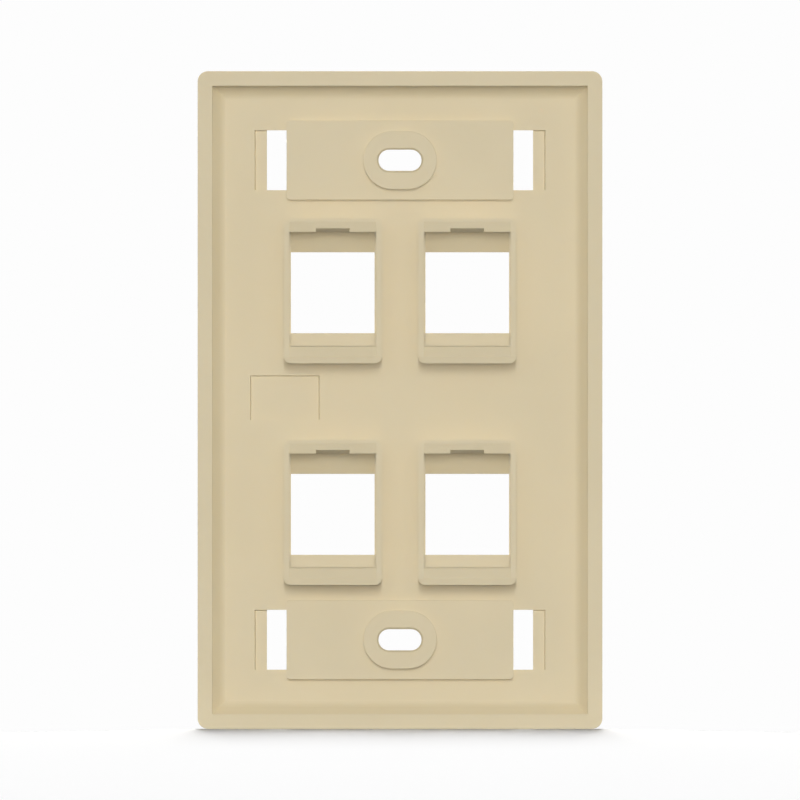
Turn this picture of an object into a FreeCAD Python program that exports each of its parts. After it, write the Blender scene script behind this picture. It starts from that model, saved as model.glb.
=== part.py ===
import FreeCAD, Part
import math
import os

from FreeCAD import Vector

# Keystone faceplate: a single-gang wall plate with four jack wells and two label recesses.
# It is one injection moulding of rigid thermoplastic, so the whole plate is one solid.
# +Z runs up the plate, -Y faces the room, +Y goes into the wall.
# The origin is the middle of the plane that seats on the wall. All sizes are millimetres.

# Plate body
plate_width = 70.35
plate_height = 114.3
plate_depth = 6.8
face_wall = 2.0
rim_width = 2.54
rim_foot_width = 1.75
rim_foot_height = 1.0
rim_foot_blend_radius = 2.0
corner_radius = 1.8
front_edge_radius = 1.4
mould_draft_deg = 0.5

# Wall box screws, number 6 with an oval head
screw_pitch = 83.34
screw_slot_length = 7.47
screw_slot_width = 3.68
screw_slot_chamfer = 0.3
screw_head_width = 7.4
screw_head_angle_deg = 82.0

# Raised bosses round the screw slots, on the back
boss_length = 12.8
boss_width = 10.1
boss_height = 2.0

# Label recesses in the front, with a clip slot at each end
label_width = 46.24
label_height = 10.4
label_depth = 1.8
clip_slot_width = 3.4
clip_pocket_width = 2.14
clip_pocket_depth = 0.7

# Raised platforms on the back, as high as the label recesses are deep, which keeps the wall full there
platform_margin = 1.67
platform_corner_radius = 0.6

# Plain shallow recess in the back of the face, beside the jack wells
bare_recess_width = 12.0
bare_recess_height = 7.7
bare_recess_depth = 0.6
bare_recess_x = 20.0
bare_recess_z = 0.4

# Lean of the bare recess's and the clip pockets' ends and upper wall. Their lower wall is square.
recess_draft_deg = 12.0

# Jack wells, set out in columns and rows about the middle of the plate
well_columns = 2
well_rows = 2
column_pitch = 23.38
row_pitch = 38.52
well_depth = 9.8
well_wall = 1.0
well_corner_radius = 1.2

# Inside of a well, with depths from the front face and heights from the well's middle
opening_width = 14.53
opening_edge_chamfer = 0.3
chamber_width = 15.05
catch_gap = 19.9
catch_thickness = 1.9
front_lip_depth = 2.2

# Latch side, at the top: the jack's sprung latch snaps in behind this catch
latch_reach = 3.54
latch_lip_root_depth = 4.4
latch_pocket_height = 1.33
latch_lead_in_height = 1.75
latch_lead_in_depth = 0.3
latch_ramp_width = 5.84
latch_ramp_height = 0.72
latch_ramp_land = 0.3

# Lug side, at the bottom: the jack's fixed lug hooks in behind this catch
lug_reach = 2.31
lug_shoulder_depth = 6.5
lug_slit = 0.08
lug_pocket_height = 1.96
lug_pocket_floor_depth = 4.6
lug_ramp_height = 1.8
lug_ramp_depth = 0.5
lug_land_fall = 0.15

# Cutters run this far past a face so that no skin is left
overrun = 1.0

# Places along Y, from the room side to the wall side
front_y = -plate_depth
face_back_y = front_y + face_wall
platform_back_y = face_back_y + label_depth
boss_back_y = platform_back_y + boss_height
well_back_y = front_y + well_depth

# Places inside a well, as heights from its middle and depths from the front face
latch_edge = catch_gap / 2
latch_pocket_top = latch_edge + latch_pocket_height
lead_in_top = latch_edge + latch_lead_in_height
opening_top = latch_edge - latch_reach
lug_edge = -catch_gap / 2
lug_pocket_bottom = lug_edge - lug_pocket_height
ramp_foot = lug_edge - lug_ramp_height
opening_bottom = lug_edge + lug_reach
catch_front_depth = well_depth - catch_thickness

# Outside of a well
well_top = latch_pocket_top + well_wall
well_bottom = lug_pocket_bottom - well_wall
well_width = chamber_width + 2 * well_wall

# Places of the label fittings, which are centred on the screws
screw_heights = [-screw_pitch / 2, screw_pitch / 2]
clip_slot_x = (label_width - clip_slot_width) / 2
platform_width = label_width - 2 * clip_slot_width


def draft(depth, angle_deg=mould_draft_deg):
    """Width that draft takes off one side over a depth, at the mould's own angle or another."""
    return depth * math.tan(math.radians(angle_deg))


def grown(size, amount):
    """A (width, height) size with an amount added on every side."""
    width, height = size
    return width + 2 * amount, height + 2 * amount


def block(x, y, z):
    """Plain block between the pairs of limits given for X, Y and Z."""
    corner = Vector(min(x), min(y), min(z))
    return Part.makeBox(max(x) - min(x), max(y) - min(y), max(z) - min(z), corner)


def tapered_block(sizes, y, radius=0.0):
    """Block that changes evenly between two (width, height) sizes at two places along Y."""
    (width, height), (last_width, last_height) = sizes
    solid = Part.makeWedge(
        -width / 2, y[0], -height / 2, -last_height / 2, -last_width / 2,
        width / 2, y[1], height / 2, last_height / 2, last_width / 2,
    )
    if radius:
        corners = [edge for edge in solid.Edges if edge.BoundBox.YLength > (y[1] - y[0]) / 2]
        solid = solid.makeFillet(radius, corners)
    return solid


def obround(length, widths, y):
    """Bar along X with round ends, with a width of its own at each of two places along Y."""
    run = (length - widths[0]) / 2
    first, last = (width / 2 for width in widths)
    side = [(y[0], -first), (y[1], -last), (y[1], last), (y[0], first)]
    side = [Vector(-run, along, height) for along, height in side]
    half = [Vector(0, y[0], 0), Vector(first, y[0], 0), Vector(last, y[1], 0), Vector(0, y[1], 0)]
    bar = Part.Face(Part.makePolygon(side + side[:1])).extrude(Vector(2 * run, 0, 0))
    ends = []
    for x in (-run, run):
        end = Part.Face(Part.makePolygon(half + half[:1])).revolve(Vector(), Vector(0, 1, 0), 360)
        end.translate(Vector(x, 0, 0))
        ends.append(end)
    return bar.fuse(ends).removeSplitter()


def section_across(points, width):
    """Solid of a side-view section, given as (depth, height) points, centred across X."""
    corners = [Vector(-width / 2, front_y + depth, height) for depth, height in points]
    face = Part.Face(Part.makePolygon(corners + corners[:1]))
    return face.extrude(Vector(width, 0, 0))


def plate_body():
    """The plate as a full block, with round corners and a rounded front edge."""
    back = (plate_width, plate_height)
    body = tapered_block([grown(back, -draft(plate_depth)), back], [front_y, 0], corner_radius)
    edges = [edge for edge in body.Edges if edge.BoundBox.YMax < front_y + front_edge_radius / 10]
    return body.makeFillet(front_edge_radius, edges)


def back_hollow():
    """Cutter for the hollow inside the rim, open to the wall. The foot of the rim slopes into the face."""
    mouth = (plate_width - 2 * rim_width, plate_height - 2 * rim_width)
    foot_top_y = face_back_y + rim_foot_height
    foot_top = grown(mouth, -draft(-foot_top_y))
    foot = tapered_block([grown(mouth, -rim_foot_width), foot_top], [face_back_y, foot_top_y])
    hollow = foot.fuse(tapered_block([foot_top, grown(mouth, draft(overrun))], [foot_top_y, overrun]))
    edges = [edge for edge in hollow.Edges if edge.BoundBox.YMax < face_back_y + rim_foot_height / 10]
    return hollow.makeFillet(rim_foot_blend_radius, edges)


def label_platform(z):
    """Raised platform behind one label recess, with the screw boss standing on it."""
    size = (platform_width, label_height + 2 * platform_margin)
    foot_y = face_back_y - face_wall / 2
    top = grown(size, -draft(platform_back_y - foot_y))
    platform = tapered_block([size, top], [foot_y, platform_back_y], platform_corner_radius)
    boss_top = boss_width - 2 * draft(boss_back_y - foot_y)
    pad = platform.fuse(obround(boss_length, [boss_width, boss_top], [foot_y, boss_back_y]))
    pad.translate(Vector(0, 0, z))
    return pad


def label_recess(z):
    """Cutter for the shallow recess in the front that takes a label and its cover."""
    x = [-label_width / 2, label_width / 2]
    return block(x, [front_y - overrun, front_y + label_depth], [z - label_height / 2, z + label_height / 2])


def screw_slot(z):
    """Cutter for a screw slot, countersunk from the label recess and chamfered at the back."""
    head_y = front_y + label_depth
    head_depth = (screw_head_width - screw_slot_width) / 2 / math.tan(math.radians(screw_head_angle_deg / 2))
    head_length = screw_slot_length - screw_slot_width + screw_head_width
    wide = screw_slot_width + 2 * (screw_slot_chamfer + overrun)
    width = screw_slot_width
    slot = obround(screw_slot_length, [width, width], [head_y, boss_back_y + overrun])
    sink = obround(head_length, [screw_head_width, width], [head_y, head_y + head_depth])
    chamfer_y = [boss_back_y - screw_slot_chamfer, boss_back_y + overrun]
    chamfer = obround(screw_slot_length, [width, wide], chamfer_y)
    cutter = slot.fuse([sink, chamfer])
    cutter.translate(Vector(0, 0, z))
    return cutter


def back_recess(x, z, depth):
    """Cutter for a shallow recess in the back of the face, whose ends and upper wall lean."""
    y = [face_back_y - depth, face_back_y + overrun]
    size = (x[1] - x[0], z[1] - z[0] + 2 * overrun)
    floor = grown(size, -draft(depth, recess_draft_deg))
    mouth = grown(size, draft(overrun, recess_draft_deg))
    leaning = tapered_block([floor, mouth], y)
    leaning.translate(Vector(sum(x) / 2, 0, sum(z) / 2 - overrun))
    return leaning.common(block([x[0] - overrun, x[1] + overrun], y, [z[0], z[1] + overrun]))


def clip_slot(side, z):
    """Cutter for one clip slot at the end of a label recess, with its pocket on the back."""
    inner = side * (clip_slot_x - clip_slot_width / 2)
    outer = side * (clip_slot_x + clip_slot_width / 2)
    height = [z - label_height / 2, z + label_height / 2]
    slot = block([inner, outer], [front_y, boss_back_y + overrun], height)
    ends = sorted([side * clip_slot_x, outer + side * clip_pocket_width])
    return slot.fuse(back_recess(ends, height, clip_pocket_depth))


def bare_recess():
    """Cutter for the plain shallow rectangle in the back of the face."""
    x = [bare_recess_x - bare_recess_width / 2, bare_recess_x + bare_recess_width / 2]
    z = [bare_recess_z - bare_recess_height / 2, bare_recess_z + bare_recess_height / 2]
    return back_recess(x, z, bare_recess_depth)


def well_box():
    """Outside of one jack well, whose walls stand straight, without draft."""
    size = (well_width, well_top - well_bottom)
    foot_y = face_back_y - face_wall / 2
    box = tapered_block([size, size], [foot_y, well_back_y], well_corner_radius)
    box.translate(Vector(0, 0, (well_top + well_bottom) / 2))
    return box


def well_opening():
    """Cutter for the front opening of a well, with its edge eased on the room side."""
    size = (opening_width, opening_top - opening_bottom)
    front_lip_y = front_y + front_lip_depth
    throat = tapered_block([size, size], [front_y - overrun, front_lip_y + overrun])
    edge_y = [front_y - overrun, front_y + opening_edge_chamfer]
    edge = tapered_block([grown(size, opening_edge_chamfer + overrun), size], edge_y)
    opening = throat.fuse(edge)
    opening.translate(Vector(0, 0, (opening_top + opening_bottom) / 2))
    return opening


def well_chamber():
    """Cutter for the inside of a well behind its front lip, which leaves both catches standing."""
    section = [
        (front_lip_depth, opening_bottom),
        (lug_shoulder_depth, opening_bottom),
        (lug_shoulder_depth, lug_edge + lug_slit),
        (lug_pocket_floor_depth, lug_edge + lug_slit),
        (lug_pocket_floor_depth, lug_pocket_bottom),
        (catch_front_depth, lug_pocket_bottom),
        (catch_front_depth, lug_edge),
        (well_depth - lug_ramp_depth, lug_edge),
        (well_depth, ramp_foot),
        (well_depth + overrun, ramp_foot),
        (well_depth + overrun, lead_in_top),
        (well_depth, lead_in_top),
        (well_depth - latch_lead_in_depth, latch_edge),
        (catch_front_depth, latch_edge),
        (catch_front_depth, latch_pocket_top),
        (latch_lip_root_depth, latch_pocket_top),
        (front_lip_depth, opening_top),
    ]
    return section_across(section, chamber_width)


def latch_ramp():
    """Cutter for the ramp in the middle of the latch catch, which bends the jack's latch on its way in."""
    section = [
        (catch_front_depth + latch_ramp_land, latch_edge),
        (well_depth, latch_edge + latch_ramp_height),
        (well_depth + overrun, latch_edge + latch_ramp_height),
        (well_depth + overrun, latch_edge),
    ]
    return section_across(section, latch_ramp_width)


def side_grooves():
    """Cutter for the groove down each side of a well, beside its lug shoulder and its latch slope."""
    y = [front_y + front_lip_depth, front_y + catch_front_depth]
    groove = block([opening_width / 2, chamber_width / 2], y, [lug_edge, latch_pocket_top])
    return groove.fuse(groove.mirror(Vector(), Vector(1, 0, 0)))


def land_slope():
    """Cutter for the slope on the back of a well's lower wall, below the lug's ramp."""
    section = [
        (well_depth, ramp_foot),
        (well_depth - lug_land_fall, well_bottom),
        (well_depth - lug_land_fall, well_bottom - overrun),
        (well_depth + overrun, well_bottom - overrun),
        (well_depth + overrun, ramp_foot),
    ]
    return section_across(section, well_width + 2 * overrun)


def at_wells(shape):
    """A copy of the shape at each jack well."""
    first_x = -(well_columns - 1) * column_pitch / 2
    first_z = -(well_rows - 1) * row_pitch / 2
    copies = []
    for row in range(well_rows):
        for column in range(well_columns):
            copy = shape.copy()
            copy.translate(Vector(first_x + column * column_pitch, 0, first_z + row * row_pitch))
            copies.append(copy)
    return copies


def faceplate():
    """The whole moulding: the tray, what stands on its back, then every cut through it."""
    added = [label_platform(z) for z in screw_heights]
    added += at_wells(well_box())
    cut = [label_recess(z) for z in screw_heights]
    cut += [screw_slot(z) for z in screw_heights]
    cut += [clip_slot(side, z) for z in screw_heights for side in (-1, 1)]
    cut += at_wells(well_opening().fuse([well_chamber(), side_grooves(), latch_ramp(), land_slope()]))
    cut.append(bare_recess())
    tray = plate_body().cut(back_hollow())
    return tray.fuse(added).cut(cut).removeSplitter()


os.makedirs("parts", exist_ok=True)
plate = faceplate()
plate.Solids[0].exportStep("parts/faceplate.step")
print("solids", len(plate.Solids), "valid", plate.isValid(), "volume", round(plate.Volume, 1))
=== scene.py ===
import math

import bmesh
import bpy
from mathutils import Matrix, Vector


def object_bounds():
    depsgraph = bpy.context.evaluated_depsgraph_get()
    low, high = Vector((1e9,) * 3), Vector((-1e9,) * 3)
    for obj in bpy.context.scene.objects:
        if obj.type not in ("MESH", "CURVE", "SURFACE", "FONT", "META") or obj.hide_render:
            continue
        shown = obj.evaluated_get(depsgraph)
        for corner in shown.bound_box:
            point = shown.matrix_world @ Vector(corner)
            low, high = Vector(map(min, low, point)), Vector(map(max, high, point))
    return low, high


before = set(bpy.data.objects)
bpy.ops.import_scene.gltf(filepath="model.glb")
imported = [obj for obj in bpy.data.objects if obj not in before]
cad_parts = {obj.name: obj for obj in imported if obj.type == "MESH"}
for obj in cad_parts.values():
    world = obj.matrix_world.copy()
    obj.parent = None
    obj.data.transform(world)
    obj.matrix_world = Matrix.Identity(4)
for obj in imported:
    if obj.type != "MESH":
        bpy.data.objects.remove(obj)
cad_low, cad_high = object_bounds()

# Faceplate
# The whole plate is one injection moulding of ivory ABS, a rigid and slightly translucent plastic.
# Nothing is fitted to it, so its solid is shown as it is and only gets its finish here.


def linear(hex_colour):
    """Linear red, green, blue and alpha of an sRGB hex colour."""
    channels = [int(hex_colour[i:i + 2], 16) / 255 for i in (1, 3, 5)]
    return [c / 12.92 if c <= 0.04045 else ((c + 0.055) / 1.055) ** 2.4 for c in channels] + [1.0]


def add_node(tree, kind, settings=None, **inputs):
    """Adds a node with its settings, then sets or links each input given by name."""
    node = tree.nodes.new(kind)
    for name, value in (settings or {}).items():
        setattr(node, name, value)
    for name, value in inputs.items():
        socket = node.inputs[name.replace("_", " ")]
        if isinstance(value, bpy.types.NodeSocket):
            tree.links.new(value, socket)
        else:
            socket.default_value = value
    return node


def emptied_tree(owner):
    """The node tree of a material or world, with nothing in it."""
    owner.use_nodes = True
    owner.node_tree.nodes.clear()
    return owner.node_tree


def moulded_abs():
    """Ivory ABS from an etched mould: warm, with faint clouds, a soft sheen and a very fine matt grain."""
    cloud_mm = 18.0
    grain_mm = 0.35
    grain_depth_mm = 0.004
    scatter_depth_mm = 1.0
    material = bpy.data.materials.new("moulded_ivory_abs")
    tree = emptied_tree(material)
    place = add_node(tree, "ShaderNodeTexCoord").outputs["Object"]
    cloud = add_node(tree, "ShaderNodeTexNoise", Vector=place, Scale=1000 / cloud_mm, Detail=2.0)
    tone = add_node(tree, "ShaderNodeMix", {"data_type": "RGBA"})
    tree.links.new(cloud.outputs["Fac"], tone.inputs["Factor"])
    tone.inputs["A"].default_value = linear("#cfc19f")
    tone.inputs["B"].default_value = linear("#d7c9a7")
    grain = add_node(tree, "ShaderNodeTexNoise", Vector=place, Scale=1000 / grain_mm, Detail=1.0)
    etched = add_node(
        tree, "ShaderNodeBump", Height=grain.outputs["Fac"], Distance=grain_depth_mm / 1000, Strength=1.0
    )
    plastic = add_node(
        tree, "ShaderNodeBsdfPrincipled",
        Base_Color=tone.outputs["Result"], Roughness=0.6, IOR=1.53, Specular_IOR_Level=0.4,
        Subsurface_Weight=0.15, Subsurface_Radius=(1.0, 0.75, 0.45),
        Subsurface_Scale=scatter_depth_mm / 1000, Normal=etched.outputs["Normal"],
    )
    add_node(tree, "ShaderNodeOutputMaterial", Surface=plastic.outputs["BSDF"])
    return material


plastic_finish = moulded_abs()
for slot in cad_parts["faceplate"].material_slots:
    slot.material = plastic_finish

# Floor
# A sheet of white paper that the plate stands on, on its lower edge. Away from the plate it dips by one
# degree, so that a level camera still sees the shadow on it, and from below it looks as white as the tent.
# It sends little light up to the plate, but for a strip at the plate's foot, which lights the lower rim.


def where_seen(tree, shown, lit):
    """The shown shader for rays that look at the stage or mirror it, and the lit one for rays that light."""
    ray = add_node(tree, "ShaderNodeLightPath")
    mirrored = add_node(tree, "ShaderNodeMath", {"operation": "MAXIMUM"})
    tree.links.new(ray.outputs["Is Glossy Ray"], mirrored.inputs[0])
    tree.links.new(ray.outputs["Is Transmission Ray"], mirrored.inputs[1])
    looked_at = add_node(tree, "ShaderNodeMath", {"operation": "MAXIMUM"})
    tree.links.new(ray.outputs["Is Camera Ray"], looked_at.inputs[0])
    tree.links.new(mirrored.outputs["Value"], looked_at.inputs[1])
    choice = add_node(tree, "ShaderNodeMixShader", Fac=looked_at.outputs["Value"])
    tree.links.new(lit, choice.inputs[1])
    tree.links.new(shown, choice.inputs[2])
    return choice.outputs["Shader"]


floor_reach = 3.0
floor_dip_deg = 1.0
foot_strip_width = 0.012
dip = floor_reach * math.tan(math.radians(floor_dip_deg))
sheet = bpy.data.meshes.new("floor")
bm = bmesh.new()
bmesh.ops.create_grid(bm, x_segments=3, y_segments=3, size=floor_reach)
for vertex in bm.verts:
    outside = max(abs(vertex.co.x), abs(vertex.co.y)) > floor_reach / 2
    if abs(vertex.co.x) < floor_reach / 2:
        vertex.co.x = cad_low.x if vertex.co.x < 0 else cad_high.x
    if abs(vertex.co.y) < floor_reach / 2:
        vertex.co.y = cad_low.y if vertex.co.y < 0 else 0.0
    vertex.co.z = cad_low.z - (dip if outside else 0.0)
bm.to_mesh(sheet)
bm.free()
floor = bpy.data.objects.new("floor", sheet)
bpy.context.scene.collection.objects.link(floor)
paper = bpy.data.materials.new("white_paper")
tree = emptied_tree(paper)
bright = add_node(tree, "ShaderNodeBsdfDiffuse", Color=linear("#fafafa"))
underside = add_node(tree, "ShaderNodeEmission", Color=linear("#fdfdfd"), Strength=1.0)
face = add_node(tree, "ShaderNodeNewGeometry")
both_sides = add_node(tree, "ShaderNodeMixShader", Fac=face.outputs["Backfacing"])
tree.links.new(bright.outputs["BSDF"], both_sides.inputs[1])
tree.links.new(underside.outputs["Emission"], both_sides.inputs[2])
place = add_node(tree, "ShaderNodeTexCoord").outputs["Object"]
across = add_node(tree, "ShaderNodeSeparateXYZ", Vector=place)
from_plate = add_node(tree, "ShaderNodeMath", {"operation": "ABSOLUTE"})
tree.links.new(across.outputs["Y"], from_plate.inputs[0])
at_foot = add_node(tree, "ShaderNodeMath", {"operation": "LESS_THAN"})
tree.links.new(from_plate.outputs["Value"], at_foot.inputs[0])
at_foot.inputs[1].default_value = foot_strip_width
shade = add_node(tree, "ShaderNodeMix", {"data_type": "RGBA"})
tree.links.new(at_foot.outputs["Value"], shade.inputs["Factor"])
shade.inputs["A"].default_value = linear("#202020")
shade.inputs["B"].default_value = linear("#a8a8a8")
dim = add_node(tree, "ShaderNodeBsdfDiffuse", Color=shade.outputs["Result"])
add_node(
    tree, "ShaderNodeOutputMaterial",
    Surface=where_seen(tree, both_sides.outputs["Shader"], dim.outputs["BSDF"]),
)
floor.data.materials.append(paper)

# Tent
# White cloth all round the plate. It shows as plain white behind it, and what it lends the plate is a faint
# even light.

tent_light = 0.06
world = bpy.data.worlds.new("light_tent")
bpy.context.scene.world = world
tree = emptied_tree(world)
faint = add_node(tree, "ShaderNodeBackground", Color=linear("#ffffff"), Strength=tent_light)
white = add_node(tree, "ShaderNodeBackground", Color=linear("#fdfdfd"), Strength=1.0)
add_node(
    tree, "ShaderNodeOutputWorld",
    Surface=where_seen(tree, white.outputs["Background"], faint.outputs["Background"]),
)

# Lamps
# Rectangular soft lamps, all far away. Azimuth 0 is the camera's side and 180 the room's side, so the key
# lamps light the back of the plate, and the room and overhead lamps light its front, its edges and the floor.


def softbox(name, azimuth_deg, elevation_deg, size_deg, level):
    """A soft lamp that faces the plate. Its width and height are the angles that it fills, seen from there.

    At level 1, a white surface that faces the lamp shows as white.
    """
    distance = 20.0
    lamp = bpy.data.lights.new(name, "AREA")
    lamp.shape = "RECTANGLE"
    lamp.size, lamp.size_y = (2 * distance * math.tan(math.radians(angle / 2)) for angle in size_deg)
    lamp.energy = level * (math.pi * distance) ** 2
    azimuth = math.radians(azimuth_deg)
    elevation = math.radians(elevation_deg)
    towards = Vector((
        math.sin(azimuth) * math.cos(elevation), math.cos(azimuth) * math.cos(elevation), math.sin(elevation)
    ))
    holder = bpy.data.objects.new(name, lamp)
    holder.location = towards * distance
    holder.rotation_euler = towards.to_track_quat("Z", "Y").to_euler()
    bpy.context.scene.collection.objects.link(holder)


softbox("key_straight", 0, 0.5, (1.0, 2.0), 0.37)
softbox("key_above", 0, 9.0, (1.6, 13), 0.335)
softbox("key_wide", 0, 12.0, (44, 28), 0.163)
softbox("room_straight", 180, 3, (30, 6), 0.45)
softbox("left_side", 100, 2.5, (24, 5), 0.35)
softbox("right_side", -100, 2.5, (24, 5), 0.35)
softbox("overhead_steep", 180, 83, (1.5, 12), 0.30)
softbox("overhead_middle", 180, 68, (3, 18), 0.29)
softbox("overhead_low", 180, 46, (5, 30), 0.42)

# Camera
# The photograph looks straight at the plate's back with no perspective, so the camera is level and
# orthographic, and its picture takes in as many millimetres as the photograph does.

mm_per_pixel = 0.1738
picture_pixels = 800
camera_side = Vector((0, 1, 0))
lens = bpy.data.cameras.new("camera")
lens.type = "ORTHO"
lens.ortho_scale = picture_pixels * mm_per_pixel / 1000
camera = bpy.data.objects.new("camera", lens)
camera.location = camera_side
camera.rotation_euler = camera_side.to_track_quat("Z", "Y").to_euler()
bpy.context.scene.collection.objects.link(camera)
bpy.context.scene.camera = camera

bpy.context.scene.view_settings.view_transform = "Standard"
